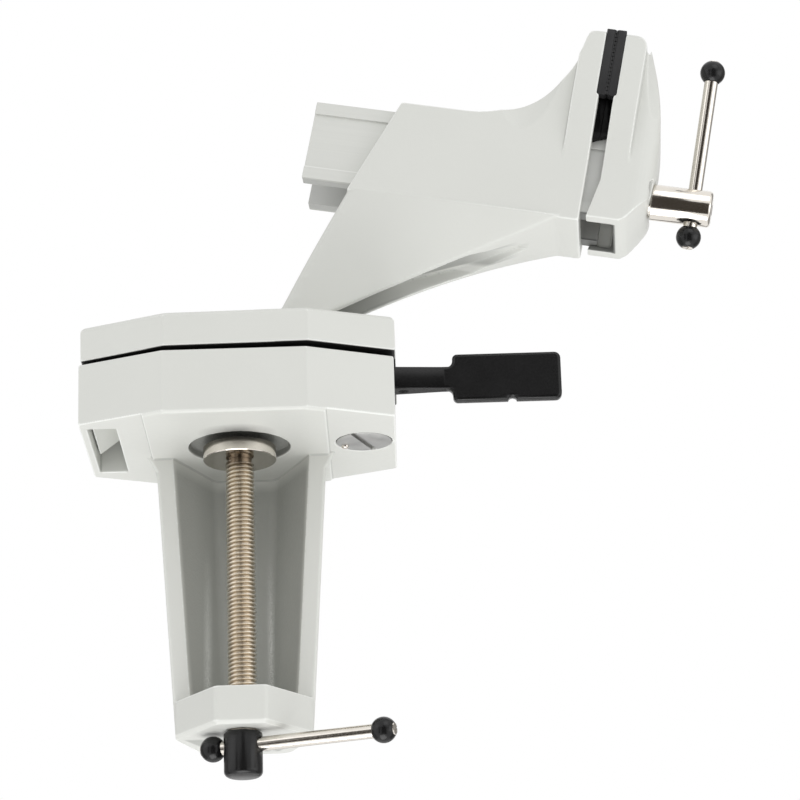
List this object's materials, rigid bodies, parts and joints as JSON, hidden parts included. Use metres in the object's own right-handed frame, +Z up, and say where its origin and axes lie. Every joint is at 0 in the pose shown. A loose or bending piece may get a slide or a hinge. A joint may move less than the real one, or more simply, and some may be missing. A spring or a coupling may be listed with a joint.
{
  "type": "clamp-on table vise",
  "caption": "Small screw vise on a ball joint with a lever-locked octagonal head and a C clamp that grips a table edge",
  "frame": {"origin": "clamp spindle axis at the face that rests on the table", "axes": "+Z up out of the table, +Y from the table edge out to the column, +X to the lever side"},
  "size_m": [0.2327, 0.084, 0.2656],
  "materials": {
    "paint": "light grey paint on die casting",
    "nickel": "bright nickel plate",
    "steel": "plain steel",
    "aluminium": "natural extruded",
    "black": "black moulded"
  },
  "bodies": {
    "clamp_frame": {"clamp_frame": "paint"},
    "clamp_plate": {"clamp_plate": "paint"},
    "lever": {"lever": "black", "lever_pin": "steel", "clamp_screw": "steel", "screw_lock_pin": "nickel"},
    "ball": {"ball": "steel"},
    "vise_body": {"vise_body": "paint", "spindle_nut": "steel", "nut_pin": "steel", "jaw_cover_fixed": "black"},
    "moving_jaw": {"moving_jaw": "paint", "rail": "aluminium", "rail_screws": "steel", "jaw_cover_moving": "black"},
    "vise_spindle": {"vise_spindle": "nickel", "spindle_ring": "steel"},
    "vise_bar": {"vise_bar": "nickel", "vise_bar_end_upper": "black", "vise_bar_end_lower": "black"},
    "pressure_pad": {"pressure_pad": "nickel"},
    "clamp_spindle": {"clamp_spindle": "nickel", "pad_washer": "steel", "clamp_knob": "black"},
    "clamp_bar": {"clamp_bar": "nickel", "clamp_bar_end_left": "black", "clamp_bar_end_right": "black"}
  },
  "joints": [
    {"name": "lever_turn", "type": "hinge", "parent": "clamp_frame", "child": "lever", "pos_m": [0.044, 0, 0.0245], "axis": [0, 0, 1], "range_deg": [-40, 0]},
    {"name": "plate_lift", "type": "hinge", "parent": "clamp_frame", "child": "clamp_plate", "pos_m": [-0.0428, 0, 0.013], "axis": [0, -1, 0], "range_deg": [0, 0.3]},
    {"name": "ball_swivel", "type": "hinge", "parent": "clamp_frame", "child": "ball", "pos_m": [0, 0, 0.024], "axis": [0, 0, 1], "continuous": true},
    {"name": "vise_tilt", "type": "hinge", "parent": "ball", "child": "vise_body", "pos_m": [0, 0, 0.024], "axis": [0.0628, 0.9974, -0.0342], "range_deg": [-85, 0]},
    {"name": "jaw_slide", "type": "slide", "parent": "vise_body", "child": "moving_jaw", "axis": [0.9775, -0.0684, -0.1994], "range_m": [0, 0.045]},
    {"name": "jaw_screw", "type": "hinge", "parent": "moving_jaw", "child": "vise_spindle", "pos_m": [0.15004, -0.00732, 0.08605], "axis": [0.9775, -0.0684, -0.1994], "range_deg": [0, 10800]},
    {"name": "vise_bar_slide", "type": "slide", "parent": "vise_spindle", "child": "vise_bar", "axis": [0.1862, -0.1629, 0.9689], "range_m": [-0.0404, 0]},
    {"name": "pad_slide", "type": "slide", "parent": "clamp_frame", "child": "pressure_pad", "axis": [0, 0, -1], "range_m": [0, 0.075]},
    {"name": "clamp_screw_turn", "type": "hinge", "parent": "pressure_pad", "child": "clamp_spindle", "pos_m": [0, 0, -0.1], "axis": [0, 0, -1], "range_deg": [0, 18000]},
    {"name": "clamp_bar_slide", "type": "slide", "parent": "clamp_spindle", "child": "clamp_bar", "axis": [0.9403, -0.3404, 0], "range_m": [-0.0401, 0]}
  ],
  "couplings": [
    {"joint": "plate_lift", "follows": "lever_turn", "ratio": -0.0075},
    {"joint": "jaw_slide", "follows": "jaw_screw", "m_per_rad": 0.00023873},
    {"joint": "pad_slide", "follows": "clamp_screw_turn", "m_per_rad": 0.00023873}
  ]
}
